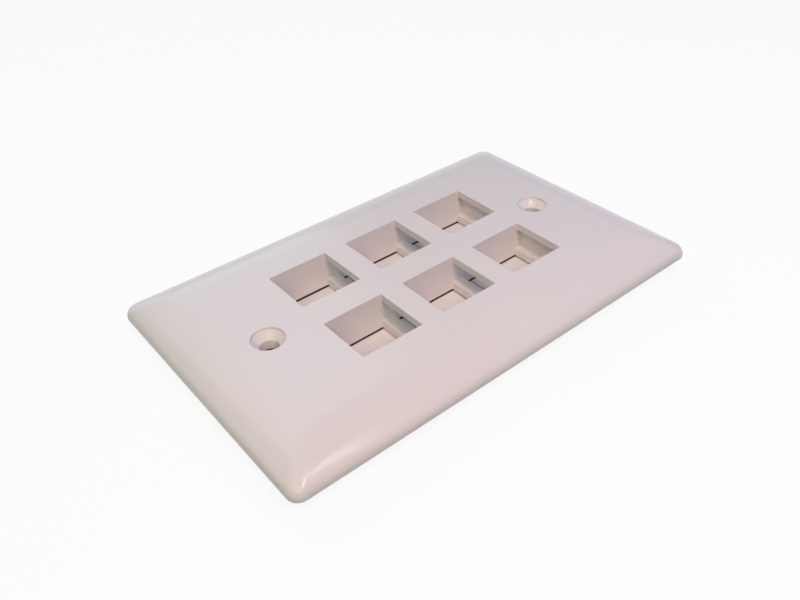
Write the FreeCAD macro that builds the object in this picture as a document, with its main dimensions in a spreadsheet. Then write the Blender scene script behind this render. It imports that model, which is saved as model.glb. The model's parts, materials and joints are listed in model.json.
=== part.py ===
"""Six-port keystone faceplate, one moulded piece, as a parametric document in millimetres.

The plate lies on its back. X runs along the long side, Y along the short side and Z out of the
front face. The origin is the centre of the rim's back, the plane that meets the wall. The port
frames reach below it, into the wall box.
"""
import FreeCAD, Part
import math
import os

import Sketcher

Vector = FreeCAD.Vector

NODE = "faceplate"

SIZES = {
    # plate
    "plate_length": 120.0,
    "plate_width": 74.0,
    "corner_radius": 2.8,
    "rim_height": 6.2,
    "shell_wall": 2.0,
    # rolled border of the front face: how far in it starts, how far it falls, and its lower edge
    "roll_width": 12.0,
    "roll_drop": 4.2,
    "roll_corner_radius": 1.6,
    "edge_radius": 2.4,
    # keystone ports: the opening in the face, their places and their depth behind the face
    "port_height": 16.2,
    "port_width": 14.6,
    "row_pitch": 22.6,
    "column_pitch": 22.6,
    "port_depth": 10.0,
    "frame_wall": 1.6,
    # undercuts behind the lip, and the bars at the back that the jacks hook and snap on
    "hook_recess": 2.0,
    "latch_recess": 4.0,
    "latch_setback": 3.0,
    "bar_height": 2.2,
    # screws
    "screw_spacing": 83.3,
    "screw_hole": 4.5,
    "head_recess": 7.8,
    "head_recess_depth": 0.6,
    "countersink_angle": 82.0,
    "boss_wall": 1.8,
    "boss_height": 5.0,
    # stiffening rib from boss to boss, behind the face
    "rib_thickness": 1.4,
}

ROWS = (-1, 0, 1)
COLUMNS = (-1, 1)
ROLL_STEPS = 7
TOLERANCE = 1e-4


def size(name):
    """A size as the expressions write it."""
    return f"Sizes.{name}"


FACE_Z = size("rim_height")
LIP_BACK_Z = f"({FACE_Z} - {size('shell_wall')})"
FRAME_BACK_Z = f"({FACE_Z} - {size('port_depth')})"
BAR_TOP_Z = f"({FRAME_BACK_Z} + {size('bar_height')})"
# the frames are centred on the plate, so the openings stand off centre by half the difference
PORT_SHIFT = f"(({size('latch_recess')} - {size('hook_recess')}) / 2)"
CHANNEL_LENGTH = (
    f"(2 * {size('row_pitch')} + {size('port_height')}"
    f" + {size('hook_recess')} + {size('latch_recess')})"
)
FRAME_LENGTH = f"({CHANNEL_LENGTH} + 2 * {size('frame_wall')})"
ROLL_RADIUS = f"(({size('roll_width')} ^ 2 + {size('roll_drop')} ^ 2) / (2 * {size('roll_drop')}))"


def make_sheet(document):
    """The spreadsheet of driving dimensions."""
    sheet = document.addObject("Spreadsheet::Sheet", "Sizes")
    for row, (name, value) in enumerate(SIZES.items(), start=1):
        sheet.set(f"A{row}", name)
        sheet.set(f"B{row}", str(value))
        sheet.setAlias(f"B{row}", name)
    document.recompute()
    return sheet


def origin_plane(body, role):
    """One of the body's own origin planes."""
    return next(feature for feature in body.Origin.OriginFeatures if feature.Role == role)


def new_sketch(body, name, height):
    """An empty sketch on a plane parallel to the face, at a height given as an expression."""
    sketch = body.newObject("Sketcher::SketchObject", name)
    sketch.AttachmentSupport = (origin_plane(body, "XY_Plane"), [""])
    sketch.MapMode = "FlatFace"
    sketch.setExpression("AttachmentOffset.Base.z", height)
    return sketch


def number(owner, expression):
    """The value that an expression has now, for a first placing that the solver then keeps."""
    return float(owner.evalExpression(expression))


def bind(sketch, kind, *where, to):
    """Adds a dimension and ties it to an expression."""
    index = sketch.addConstraint(Sketcher.Constraint(kind, *where, number(sketch, to)))
    sketch.setExpression(f"Constraints[{index}]", to)


def add_rectangle(sketch, centre, length, width):
    """A rectangle whose centre and sides are expressions."""
    left = f"{centre[0]} - ({length}) / 2"
    low = f"{centre[1]} - ({width}) / 2"
    x, y = number(sketch, left), number(sketch, low)
    dx, dy = number(sketch, length), number(sketch, width)
    corners = [Vector(x, y), Vector(x + dx, y), Vector(x + dx, y + dy), Vector(x, y + dy)]
    sides = [
        sketch.addGeometry(Part.LineSegment(corners[i], corners[(i + 1) % 4]), False)
        for i in range(4)
    ]
    for i, side in enumerate(sides):
        sketch.addConstraint(Sketcher.Constraint("Coincident", side, 2, sides[(i + 1) % 4], 1))
        sketch.addConstraint(Sketcher.Constraint(("Horizontal", "Vertical")[i % 2], side))
    bind(sketch, "DistanceX", sides[0], 1, sides[0], 2, to=length)
    bind(sketch, "DistanceY", sides[1], 1, sides[1], 2, to=width)
    bind(sketch, "DistanceX", -1, 1, sides[0], 1, to=left)
    bind(sketch, "DistanceY", -1, 1, sides[0], 1, to=low)


def add_rounded_rectangle(sketch, length, width, radius):
    """A rectangle about the origin with four equal round corners, its sizes expressions."""
    half_x, half_y = number(sketch, length) / 2, number(sketch, width) / 2
    r = number(sketch, radius)
    sides, corners = [], []
    for quarter in range(4):
        turn = FreeCAD.Rotation(Vector(0, 0, 1), 90 * quarter)
        reach, side = (half_x, half_y) if quarter % 2 == 0 else (half_y, half_x)
        start, end = Vector(reach, r - side), Vector(reach, side - r)
        sides.append(sketch.addGeometry(
            Part.LineSegment(turn.multVec(start), turn.multVec(end)), False))
        centre = turn.multVec(Vector(reach - r, side - r))
        circle = Part.Circle(centre, Vector(0, 0, 1), r)
        first = math.radians(90 * quarter)
        corners.append(sketch.addGeometry(
            Part.ArcOfCircle(circle, first, first + math.pi / 2), False))
    for quarter in range(4):
        line, arc, following = sides[quarter], corners[quarter], sides[(quarter + 1) % 4]
        sketch.addConstraint(Sketcher.Constraint("Tangent", line, 2, arc, 1))
        sketch.addConstraint(Sketcher.Constraint("Tangent", arc, 2, following, 1))
        sketch.addConstraint(Sketcher.Constraint(("Vertical", "Horizontal")[quarter % 2], line))
        if quarter:
            sketch.addConstraint(Sketcher.Constraint("Equal", corners[0], arc))
    bind(sketch, "Radius", corners[0], to=radius)
    bind(sketch, "DistanceX", -1, 1, sides[0], 1, to=f"({length}) / 2")
    bind(sketch, "DistanceX", sides[2], 1, -1, 1, to=f"({length}) / 2")
    bind(sketch, "DistanceY", -1, 1, sides[1], 1, to=f"({width}) / 2")
    bind(sketch, "DistanceY", sides[3], 1, -1, 1, to=f"({width}) / 2")


def add_circle(sketch, centre_x, diameter):
    """A circle on the long centreline."""
    x, r = number(sketch, centre_x), number(sketch, diameter) / 2
    circle = sketch.addGeometry(Part.Circle(Vector(x, 0, 0), Vector(0, 0, 1), r), False)
    sketch.addConstraint(Sketcher.Constraint("PointOnObject", circle, 3, -1))
    bind(sketch, "DistanceX", -1, 1, circle, 3, to=centre_x)
    bind(sketch, "Diameter", circle, to=diameter)


def pad(body, name, sketch, length, down=False):
    """Material from a sketch, up or down."""
    feature = body.newObject("PartDesign::Pad", name)
    feature.Profile = sketch
    feature.Reversed = down
    feature.setExpression("Length", length)
    body.Document.recompute()
    return feature


def pocket(body, name, sketch, length, up=False):
    """A cut from a sketch, down or up. It has to take material away."""
    before = body.Shape.Volume
    feature = body.newObject("PartDesign::Pocket", name)
    feature.Profile = sketch
    feature.Reversed = up
    feature.setExpression("Length", length)
    body.Document.recompute()
    if body.Shape.Volume >= before:
        raise RuntimeError(f"{name} cuts nothing")
    return feature


def rounded_skin(body, name, wall, cut):
    """The rim wall and the rolled face as one solid, or the hollow that lies a wall inside it.

    The sections of the roll follow one circular arc, from its steepest slope at the rim wall to
    level at the flat of the face. The arcs of the skin and of the hollow share one centre.
    """
    radius = f"({ROLL_RADIUS} - {wall})"
    end_slope = f"asin(({size('roll_width')} - {wall}) / {radius})"
    sections = []
    for step in range(ROLL_STEPS + 1):
        slope = f"({end_slope} * {ROLL_STEPS - step} / {ROLL_STEPS})"
        inset = f"({size('roll_width')} - {radius} * sin({slope}))"
        height = f"({FACE_Z} - {wall} - {radius} * (1 - cos({slope})))"
        if step == 0:
            foot_height = height
        blend = f"(({inset} - {wall}) / ({size('roll_width')} - {wall}))"
        foot_corner = f"({size('corner_radius')} - {wall})"
        corner = f"({foot_corner} + {blend} * ({size('roll_corner_radius')} - {foot_corner}))"
        section = new_sketch(body, f"{name}Section{step}", height)
        add_rounded_rectangle(
            section, f"({size('plate_length')} - 2 * {inset})",
            f"({size('plate_width')} - 2 * {inset})", corner)
        sections.append(section)
    outline = new_sketch(body, f"{name}Outline", "0")
    add_rounded_rectangle(
        outline, f"({size('plate_length')} - 2 * {wall})",
        f"({size('plate_width')} - 2 * {wall})", f"({size('corner_radius')} - {wall})")
    if cut:
        pocket(body, f"{name}Wall", outline, foot_height, up=True)
    else:
        pad(body, f"{name}Wall", outline, foot_height)
    kind = "SubtractiveLoft" if cut else "AdditiveLoft"
    roll = body.newObject(f"PartDesign::{kind}", f"{name}Roll")
    roll.Profile = sections[0]
    roll.Sections = sections[1:]
    body.Document.recompute()


def round_edges(body, name, radius, height):
    """A fillet on the edges that lie level at a height."""
    edges = []
    for i, edge in enumerate(body.Shape.Edges, start=1):
        box = edge.BoundBox
        if max(abs(box.ZMin - height), abs(box.ZMax - height)) < TOLERANCE:
            edges.append(f"Edge{i}")
    if not edges:
        raise RuntimeError(f"{name} finds no edge")
    rounded = body.Tip
    fillet = body.newObject("PartDesign::Fillet", name)
    fillet.Base = (rounded, edges)
    fillet.setExpression("Radius", radius)
    body.Document.recompute()


def column_centre(column):
    return f"({column} * {size('column_pitch')} / 2)"


def row_centre(row):
    return f"({row} * {size('row_pitch')} + {PORT_SHIFT})"


def add_frames(body):
    """Behind the face, a channel for each column of ports, with bars across its back."""
    blocks = new_sketch(body, "FrameBlocks", LIP_BACK_Z)
    channels = new_sketch(body, "Channels", LIP_BACK_Z)
    for column in COLUMNS:
        centre = ("0", column_centre(column))
        add_rectangle(
            blocks, centre, FRAME_LENGTH, f"{size('port_width')} + 2 * {size('frame_wall')}")
        add_rectangle(channels, centre, CHANNEL_LENGTH, size("port_width"))
    pad(body, "Frames", blocks, f"{LIP_BACK_Z} - {FRAME_BACK_Z}", down=True)
    pocket(body, "ChannelCut", channels, f"{LIP_BACK_Z} - {BAR_TOP_Z}")

    front = new_sketch(body, "FrontOpenings", FACE_Z)
    rear = new_sketch(body, "RearOpenings", FRAME_BACK_Z)
    setback = size("latch_setback")
    for column in COLUMNS:
        for row in ROWS:
            x, y = row_centre(row), column_centre(column)
            add_rectangle(front, (x, y), size("port_height"), size("port_width"))
            add_rectangle(rear, (f"({x} - {setback} / 2)", y),
                          f"({size('port_height')} + {setback})", size("port_width"))
    pocket(body, "FrontCut", front, size("shell_wall"))
    pocket(body, "RearCut", rear, size("bar_height"), up=True)


def add_screw_holes(body):
    """A boss and a recessed, countersunk hole at each end, and the rib between the bosses."""
    bosses = new_sketch(body, "BossCircles", LIP_BACK_Z)
    holes = new_sketch(body, "HoleCircles", FACE_Z)
    for end in (-1, 1):
        centre = f"({end} * {size('screw_spacing')} / 2)"
        add_circle(bosses, centre, f"({size('screw_hole')} + 2 * {size('boss_wall')})")
        add_circle(holes, centre, size("screw_hole"))
    rib = new_sketch(body, "RibOutline", LIP_BACK_Z)
    add_rectangle(rib, ("0", "0"), size("screw_spacing"), size("rib_thickness"))
    reach = f"{size('boss_height')} - {size('shell_wall')}"
    pad(body, "Bosses", bosses, reach, down=True)
    pad(body, "Rib", rib, reach, down=True)

    before = body.Shape.Volume
    hole = body.newObject("PartDesign::Hole", "ScrewHoles")
    hole.Profile = holes
    hole.DepthType = "ThroughAll"
    hole.HoleCutType = "Counterdrill"
    hole.HoleCutCustomValues = True
    hole.setExpression("Diameter", size("screw_hole"))
    hole.setExpression("HoleCutDiameter", size("head_recess"))
    hole.setExpression("HoleCutDepth", size("head_recess_depth"))
    hole.setExpression("HoleCutCountersinkAngle", size("countersink_angle"))
    body.Document.recompute()
    if body.Shape.Volume >= before:
        raise RuntimeError("the screw holes cut nothing")


def make_body(document):
    """The whole faceplate."""
    body = document.addObject("PartDesign::Body", "Faceplate")
    body.Label = NODE
    rounded_skin(body, "Skin", "0", cut=False)
    wall_top = number(body, f"{FACE_Z} - {size('roll_drop')}")
    round_edges(body, "RimEdge", size("edge_radius"), wall_top)
    rounded_skin(body, "Hollow", size("shell_wall"), cut=True)
    add_frames(body)
    add_screw_holes(body)
    return body


def main():
    document = FreeCAD.newDocument("KeystoneFaceplate")
    make_sheet(document)
    body = make_body(document)
    document.recompute()
    for item in document.Objects:
        if "Invalid" in item.State or "Error" in item.State:
            raise RuntimeError(f"{item.Name} failed: {item.State}")
    if body.Shape.isNull() or not body.Shape.isValid():
        raise RuntimeError(f"{body.Label} has no valid shape")
    os.makedirs("parts", exist_ok=True)
    body.Shape.exportStep(os.path.join("parts", f"{body.Label}.step"))
    print(body.Label, "solids", len(body.Shape.Solids), "volume", round(body.Shape.Volume, 1),
          "box", body.Shape.BoundBox)


main()
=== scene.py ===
"""Keystone faceplate: a six-opening wall plate that lies face up on a pale table.

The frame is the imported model, in metres. X runs along the plate's long side, Y along its short
side and Z out of its face. The plate is one moulding, so it is one piece.
"""
import json
import math

import bpy
from bpy.props import FloatProperty, FloatVectorProperty, IntProperty, PointerProperty
from mathutils import Matrix, Vector


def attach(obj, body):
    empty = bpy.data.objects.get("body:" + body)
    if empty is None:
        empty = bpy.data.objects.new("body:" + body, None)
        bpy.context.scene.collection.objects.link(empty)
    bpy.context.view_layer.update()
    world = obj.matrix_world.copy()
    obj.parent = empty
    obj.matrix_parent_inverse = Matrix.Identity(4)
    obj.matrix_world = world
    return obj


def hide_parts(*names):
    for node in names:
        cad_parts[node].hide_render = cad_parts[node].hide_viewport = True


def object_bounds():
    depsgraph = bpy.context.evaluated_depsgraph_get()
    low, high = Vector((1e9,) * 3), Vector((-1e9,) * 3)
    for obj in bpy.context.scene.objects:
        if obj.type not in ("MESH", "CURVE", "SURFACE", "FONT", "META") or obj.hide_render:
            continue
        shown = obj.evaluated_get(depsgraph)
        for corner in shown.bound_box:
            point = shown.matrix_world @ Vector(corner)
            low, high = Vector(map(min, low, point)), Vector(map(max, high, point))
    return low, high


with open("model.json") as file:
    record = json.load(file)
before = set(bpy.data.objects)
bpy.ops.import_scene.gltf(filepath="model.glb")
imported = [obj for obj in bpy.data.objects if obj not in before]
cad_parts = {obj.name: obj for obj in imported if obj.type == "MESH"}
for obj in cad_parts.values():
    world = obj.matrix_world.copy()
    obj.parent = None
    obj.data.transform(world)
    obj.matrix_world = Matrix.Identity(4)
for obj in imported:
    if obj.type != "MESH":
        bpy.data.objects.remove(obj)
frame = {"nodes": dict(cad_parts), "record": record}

bl_info = {
    "name": "Keystone faceplate",
    "version": (1, 0, 0),
    "blender": (4, 5, 0),
    "location": "3D View > Sidebar > Faceplate",
    "description": "Makes a moulded six-opening keystone wall plate and a plain stage for it",
    "category": "Object",
}

NODE = "faceplate"
JACK = "keystone jack"
CAD_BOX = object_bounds()
MM = 0.001
WHITE = (1.0, 1.0, 1.0, 1.0)

# the copy of the solid: points closer than this are one, and flats outweigh the edges beside them
MERGE_DISTANCE = 0.001 * MM
FLAT_WEIGHT = 100

# the plastic: features to the metre, and how strongly they show
CLOUD_SCALE, CLOUD_SHARE = 60.0, 0.02
SHEEN_SCALE, SHEEN_SHARE = 240.0, 0.08
GRAIN_SCALE, GRAIN_STRENGTH, GRAIN_HEIGHT = 2600.0, 0.25, 0.02 * MM

# the stage, in metres
FLOOR_SIDE = 6.0
NEAREST_SEEN = 0.01


class Value:
    """A socket of a node tree. Arithmetic on it adds Math nodes."""

    def __init__(self, tree, node, socket):
        self.tree = tree
        self.node = node
        self.socket = socket

    def output(self, name):
        """Another output of the same node."""
        return Value(self.tree, self.node, self.node.outputs[name])

    def __add__(self, other):
        return self.tree.maths("ADD", self, other)

    __radd__ = __add__

    def __sub__(self, other):
        return self.tree.maths("SUBTRACT", self, other)

    def __rsub__(self, other):
        return self.tree.maths("SUBTRACT", other, self)

    def __mul__(self, other):
        return self.tree.maths("MULTIPLY", self, other)

    __rmul__ = __mul__


class Tree:
    """A node tree that is written as expressions."""

    def __init__(self, made):
        self.made = made
        made.use_nodes = True
        made.node_tree.nodes.clear()

    def node(self, kind, settings=None, sockets=None, output=0):
        """A node with its settings set first, then its sockets given their values or links."""
        tree = self.made.node_tree
        node = tree.nodes.new(kind)
        for name, value in (settings or {}).items():
            setattr(node, name, value)
        for name, value in (sockets or {}).items():
            if isinstance(value, Value):
                tree.links.new(value.socket, node.inputs[name])
            else:
                node.inputs[name].default_value = value
        return Value(self, node, node.outputs[output])

    def maths(self, operation, *values):
        """One Math node."""
        return self.node("ShaderNodeMath", {"operation": operation}, dict(enumerate(values)))

    def position(self):
        """The place on the object, in its own frame, or in a sky the direction looked in."""
        return self.node("ShaderNodeTexCoord", output="Object")

    def noise(self, position, scale, detail):
        """Cloudy noise from 0 to 1, with scale features to the metre."""
        return self.node(
            "ShaderNodeTexNoise", None, {"Vector": position, "Scale": scale, "Detail": detail})

    def mix(self, share, first, second):
        """The first colour where share is 0 and the second where it is 1.

        A Mix node has sockets of every kind, so its colour sockets are picked by number.
        """
        return self.node(
            "ShaderNodeMix", {"data_type": "RGBA"}, {0: share, 6: first, 7: second}, output=2)

    def seen(self):
        """1 for what the camera sees, straight or in a gloss or through glass, and else 0."""
        ray = self.node("ShaderNodeLightPath", output="Is Camera Ray")
        return ray + ray.output("Is Glossy Ray") + ray.output("Is Transmission Ray")

    def surface(self, shader, output="ShaderNodeOutputMaterial"):
        """Puts a shader on the output, and gives back the material or world."""
        tree = self.made.node_tree
        tree.links.new(shader.socket, tree.nodes.new(output).inputs["Surface"])
        return self.made


def shade(colour, factor):
    """A colour made lighter or darker, with full alpha."""
    return (*(channel * factor for channel in colour), 1.0)


class PlateSettings(bpy.types.PropertyGroup):
    """Sizes and finish of the moulding."""

    edge_radius: FloatProperty(
        name="Edge radius", description="Rounding of the moulded edges",
        default=0.2 * MM, min=0.0, max=0.3 * MM, unit="LENGTH", precision=5)
    edge_segments: IntProperty(
        name="Edge segments", description="Facets across each rounded edge",
        default=2, min=1, max=4)
    flat_angle: FloatProperty(
        name="Flat angle", description="Faces that turn less than this are joined into one",
        default=math.radians(0.1), subtype="ANGLE")
    sharp_angle: FloatProperty(
        name="Sharp angle", description="Edges that turn more than this are rounded",
        default=math.radians(35), subtype="ANGLE")
    colour: FloatVectorProperty(
        name="Plastic colour", description="Colour of the plastic", subtype="COLOR",
        default=(0.82, 0.72, 0.72), min=0.0, max=1.0)
    roughness: FloatProperty(
        name="Roughness", description="Blur of the reflections", subtype="FACTOR",
        default=0.2, min=0.0, max=1.0)
    refraction: FloatProperty(
        name="Index of refraction", description="Strength of the reflections, 1 for none",
        default=1.36, min=1.0, max=2.0)


class StageSettings(bpy.types.PropertyGroup):
    """The table, the floor round it, the sky and the camera."""

    table_gap: FloatProperty(
        name="Table gap", description="Gap between the table and the backs of the port frames",
        default=0.5 * MM, unit="LENGTH", precision=5)
    table_colour: FloatVectorProperty(
        name="Table colour", description="Colour of the table under the plate", subtype="COLOR",
        default=(0.8, 0.75, 0.75), min=0.0, max=1.0)
    # painted shade: a dark colour put on the table under the plate, between the ports, where the
    # plate's shadow falls
    painted_shade_colour: FloatVectorProperty(
        name="Shade colour", description="Colour of the table between the ports", subtype="COLOR",
        default=(0.08, 0.05, 0.035), min=0.0, max=1.0)
    channel: FloatProperty(
        name="Channel", description="How far the channel behind each port runs on past the opening",
        default=6.4 * MM, unit="LENGTH", precision=5)
    floor_colour: FloatVectorProperty(
        name="Floor colour", description="Colour of the floor around the plate", subtype="COLOR",
        default=(0.95, 0.95, 0.95), min=0.0, max=1.0)
    bounce: FloatProperty(
        name="Floor bounce", description="Share of the floor's colour in its light on the plate",
        subtype="FACTOR", default=0.4, min=0.0, max=1.0)
    # the table colour and the painted shade under the plate reach over this share of its length and
    # width
    covered: FloatProperty(
        name="Table under the plate",
        description="Share of the plate's length and width over which the table's colours reach",
        subtype="FACTOR", default=0.8, min=0.0, max=1.0)
    backdrop_glow: FloatProperty(
        name="Floor glow", description="Share of full white in the floor as the camera sees it",
        subtype="FACTOR", default=0.9, min=0.0, max=1.0)
    sky_colour: FloatVectorProperty(
        name="Sky colour", description="Colour that is seen or mirrored high in the sky",
        subtype="COLOR", default=(0.45, 0.6, 0.75), min=0.0, max=1.0)
    white_below: FloatProperty(
        name="White below", description="Height above the horizon up to which the sky is white",
        default=math.radians(4), subtype="ANGLE")
    coloured_above: FloatProperty(
        name="Coloured above", description="Height from which the sky has its full colour",
        default=math.radians(12), subtype="ANGLE")
    sky_strength: FloatProperty(
        name="Sky strength", description="Strength of the light from all round",
        subtype="FACTOR", default=0.02, min=0.0, max=1.0)
    camera_azimuth: FloatProperty(
        name="Camera azimuth", description="Turn of the camera about the plate, from -Y towards +X",
        default=math.radians(-38.2), subtype="ANGLE")
    camera_elevation: FloatProperty(
        name="Camera elevation", description="Height of the camera above the horizon",
        default=math.radians(38.0), subtype="ANGLE")
    camera_roll: FloatProperty(
        name="Camera roll", description="Turn of the camera about its own axis",
        default=math.radians(-2.2), subtype="ANGLE")
    camera_distance: FloatProperty(
        name="Camera distance", description="From the point looked at to the camera",
        default=188.6 * MM, unit="LENGTH")
    camera_slide: FloatVectorProperty(
        name="Camera slide", description="The point looked at, right and up from the face's centre",
        size=2, default=(-3.44 * MM, -8.76 * MM), unit="LENGTH")
    lens: FloatProperty(
        name="Lens", description="Focal length of the camera in millimetres",
        default=34.9, min=1.0, unit="CAMERA")


class FACEPLATE_OT_plate(bpy.types.Operator):
    """Make the moulded plate from the frame's solid, with its edges rounded"""

    bl_idname = "faceplate.plate"
    bl_label = "Moulded plate"

    def execute(self, context):
        settings = context.scene.faceplate_plate
        solid = frame["nodes"][NODE]
        bpy.ops.object.select_all(action="DESELECT")
        solid.select_set(True)
        context.view_layer.objects.active = solid
        bpy.ops.object.duplicate()
        plate = context.view_layer.objects.active
        if plate is solid:
            raise RuntimeError("the solid was not copied")
        plate.name = "moulded_plate"
        bpy.ops.object.mode_set(mode="EDIT")
        bpy.ops.mesh.select_all(action="SELECT")
        bpy.ops.mesh.remove_doubles(threshold=MERGE_DISTANCE)
        bpy.ops.mesh.dissolve_limited(angle_limit=settings.flat_angle)
        bpy.ops.object.mode_set(mode="OBJECT")
        bevel = plate.modifiers.new("Rounded edges", "BEVEL")
        bevel.width = settings.edge_radius
        bevel.segments = settings.edge_segments
        bevel.limit_method = "ANGLE"
        bevel.angle_limit = settings.sharp_angle
        bpy.ops.object.modifier_apply(modifier=bevel.name)
        bpy.ops.object.shade_smooth_by_angle(angle=settings.sharp_angle)
        normals = plate.modifiers.new("Level flats", "WEIGHTED_NORMAL")
        normals.weight = FLAT_WEIGHT
        normals.keep_sharp = True
        bpy.ops.object.modifier_apply(modifier=normals.name)
        plate.data.materials.clear()
        plate.data.materials.append(plastic(settings))
        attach(plate, "root")
        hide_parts(NODE)
        return {"FINISHED"}


def plastic(settings):
    """Satin white moulded plastic: faint clouding, uneven sheen and a fine moulded grain."""
    material = Tree(bpy.data.materials.new("satin_plastic"))
    position = material.position()
    cloud = material.noise(position, CLOUD_SCALE, detail=3.0)
    grain = material.noise(position, GRAIN_SCALE, detail=2.0)
    sheen = material.noise(position, SHEEN_SCALE, detail=4.0)
    colour = material.mix(
        cloud, shade(settings.colour, 1 - CLOUD_SHARE), shade(settings.colour, 1 + CLOUD_SHARE))
    bump = material.node(
        "ShaderNodeBump", None,
        {"Height": grain, "Strength": GRAIN_STRENGTH, "Distance": GRAIN_HEIGHT})
    shader = material.node(
        "ShaderNodeBsdfPrincipled", None,
        {
            "Base Color": colour,
            "Roughness": settings.roughness + SHEEN_SHARE * (sheen - 0.5),
            "Normal": bump,
            "IOR": settings.refraction,
        })
    return material.surface(shader)


class FACEPLATE_OT_stage(bpy.types.Operator):
    """Make the table, the lamps, the sky and the camera"""

    bl_idname = "faceplate.stage"
    bl_label = "Stage"

    def execute(self, context):
        settings = context.scene.faceplate_stage
        make_floor(settings)
        make_lamps()
        make_sky(context, settings)
        make_camera(context, settings)
        context.scene.view_settings.view_transform = "Standard"
        return {"FINISHED"}


def make_floor(settings):
    """A wide pale floor just under the port frames."""
    low, _ = CAD_BOX
    bpy.ops.object.select_all(action="DESELECT")
    bpy.ops.mesh.primitive_plane_add(size=FLOOR_SIDE, location=(0, 0, low.z - settings.table_gap))
    floor = bpy.context.object
    floor.name = "floor"
    bpy.ops.object.transform_apply(location=True, rotation=True, scale=True)
    floor.data.materials.append(paper(settings))


def paper(settings):
    """White around the plate, pinkish below the ports, and painted dark between them as shade under
    the plate.

    The camera sees the white part mostly as full white, whatever the light there. The plate gets
    less light from it than from white paper.
    """
    material = Tree(bpy.data.materials.new("pale_paper"))
    place = material.node("ShaderNodeSeparateXYZ", None, {"Vector": material.position()})
    low, high = CAD_BOX
    under = patch(material, place, low * settings.covered, high * settings.covered)
    open_above = 0.0
    for opening in frame["record"]["physics"]["openings"]:
        if opening["holds"] == JACK:
            start, end = (Vector(corner) for corner in opening["box_m"])
            end.x += settings.channel
            open_above = open_above + patch(material, place, start, end)
    seen = material.seen()
    around = material.mix(
        seen, shade(settings.floor_colour, settings.bounce), shade(settings.floor_colour, 1.0))
    # pinkish table in the port windows, and painted dark shade under the rest of the plate
    below = material.mix(
        open_above, shade(settings.painted_shade_colour, 1.0), shade(settings.table_colour, 1.0))
    lit = material.node(
        "ShaderNodeBsdfPrincipled", None,
        {
            "Base Color": material.mix(under, around, below),
            "Roughness": 1.0,
            "Specular IOR Level": 0.0,
        })
    glow = material.node("ShaderNodeEmission", None, {"Color": WHITE, "Strength": 1.0})
    share = seen * settings.backdrop_glow * (1.0 - under)
    return material.surface(
        material.node("ShaderNodeMixShader", None, {0: share, 1: lit, 2: glow}))


def patch(material, place, low, high):
    """1 where the floor lies below a box and else 0."""
    share = 1.0
    for axis in (0, 1):
        middle, half = (low[axis] + high[axis]) / 2, (high[axis] - low[axis]) / 2
        share = share * material.maths("COMPARE", place.output(axis), middle, half)
    return share


def direction(azimuth, elevation):
    """Unit vector from the plate towards a place round it. Azimuth 0 is -Y and 90 degrees is +X."""
    return Vector((
        math.sin(azimuth) * math.cos(elevation),
        -math.cos(azimuth) * math.cos(elevation),
        math.sin(elevation),
    ))


def add_lamp(name, azimuth, elevation, distance, side, watts, colour):
    """A square soft lamp that points at the plate. Angles are in degrees and sizes in metres."""
    back = direction(math.radians(azimuth), math.radians(elevation))
    data = bpy.data.lights.new(name, "AREA")
    data.shape = "SQUARE"
    data.size = side
    data.energy = watts
    data.color = colour
    lamp = bpy.data.objects.new(name, data)
    bpy.context.scene.collection.objects.link(lamp)
    lamp.location = back * distance
    lamp.rotation_euler = back.to_track_quat("Z", "Y").to_euler()


def make_lamps():
    """Wide soft lamps behind and at front left, and small near ones in front and to the right."""
    add_lamp(
        "back", azimuth=180, elevation=35, distance=1.0, side=1.0, watts=5.0,
        colour=(0.7, 0.9, 1.0))
    add_lamp(
        "left", azimuth=-45, elevation=45, distance=1.0, side=0.7, watts=4.2,
        colour=(0.8, 1.0, 0.7))
    add_lamp(
        "front", azimuth=-15, elevation=60, distance=0.35, side=0.09, watts=0.51,
        colour=(1.0, 0.66, 0.74))
    add_lamp(
        "right", azimuth=60, elevation=35, distance=0.35, side=0.25, watts=0.22,
        colour=(0.18, 0.51, 1.0))
    add_lamp(
        "spark", azimuth=22, elevation=59, distance=0.4, side=0.03, watts=0.08,
        colour=(1.0, 0.86, 0.64))


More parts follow.
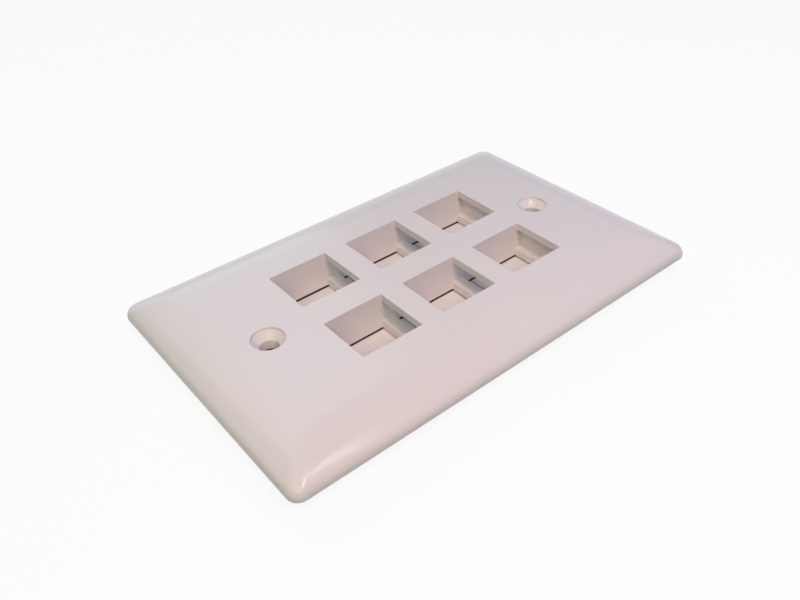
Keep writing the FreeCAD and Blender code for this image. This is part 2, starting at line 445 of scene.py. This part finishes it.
def make_sky(context, settings):
    """A weak sky that looks white at the horizon and cooler above."""
    sky = Tree(bpy.data.worlds.new("pale_sky"))
    seen = sky.seen()
    height = sky.node("ShaderNodeSeparateXYZ", None, {"Vector": sky.position()}, output="Z")
    high = sky.node(
        "ShaderNodeMapRange", {"interpolation_type": "SMOOTHSTEP"},
        {
            "Value": height,
            "From Min": math.sin(settings.white_below),
            "From Max": math.sin(settings.coloured_above),
        })
    colour = sky.mix(seen * high, WHITE, shade(settings.sky_colour, 1.0))
    strength = seen * (1.0 - settings.sky_strength) + settings.sky_strength
    shader = sky.node("ShaderNodeBackground", None, {"Color": colour, "Strength": strength})
    context.scene.world = sky.surface(shader, output="ShaderNodeOutputWorld")


def make_camera(context, settings):
    """A camera that looks down at the face, turned slightly about its own axis."""
    _, high = CAD_BOX
    back = direction(settings.camera_azimuth, settings.camera_elevation)
    turn = back.to_track_quat("Z", "Y") @ Matrix.Rotation(
        settings.camera_roll, 3, "Z").to_quaternion()
    right, up = turn @ Vector((1, 0, 0)), turn @ Vector((0, 1, 0))
    across, above = settings.camera_slide
    looked_at = Vector((0, 0, high.z)) + right * across + up * above
    data = bpy.data.cameras.new("camera")
    data.lens = settings.lens
    data.clip_start = NEAREST_SEEN
    camera = bpy.data.objects.new("camera", data)
    context.scene.collection.objects.link(camera)
    camera.location = looked_at + back * settings.camera_distance
    camera.rotation_euler = turn.to_euler()
    context.scene.camera = camera


class FACEPLATE_PT_panel(bpy.types.Panel):
    """The settings and the two operators"""

    bl_idname = "FACEPLATE_PT_panel"
    bl_label = "Faceplate"
    bl_space_type = "VIEW_3D"
    bl_region_type = "UI"
    bl_category = "Faceplate"

    def draw(self, context):
        for settings, operator in (
            (context.scene.faceplate_plate, FACEPLATE_OT_plate),
            (context.scene.faceplate_stage, FACEPLATE_OT_stage),
        ):
            column = self.layout.column()
            for name in settings.__annotations__:
                column.prop(settings, name)
            column.operator(operator.bl_idname)


CLASSES = (
    PlateSettings, StageSettings, FACEPLATE_OT_plate, FACEPLATE_OT_stage, FACEPLATE_PT_panel)


def register():
    for each in CLASSES:
        bpy.utils.register_class(each)
    bpy.types.Scene.faceplate_plate = PointerProperty(type=PlateSettings)
    bpy.types.Scene.faceplate_stage = PointerProperty(type=StageSettings)


def unregister():
    del bpy.types.Scene.faceplate_stage
    del bpy.types.Scene.faceplate_plate
    for each in reversed(CLASSES):
        bpy.utils.unregister_class(each)


def main():
    register()
    bpy.ops.faceplate.plate()
    bpy.ops.faceplate.stage()


if __name__ == "__main__":
    main()
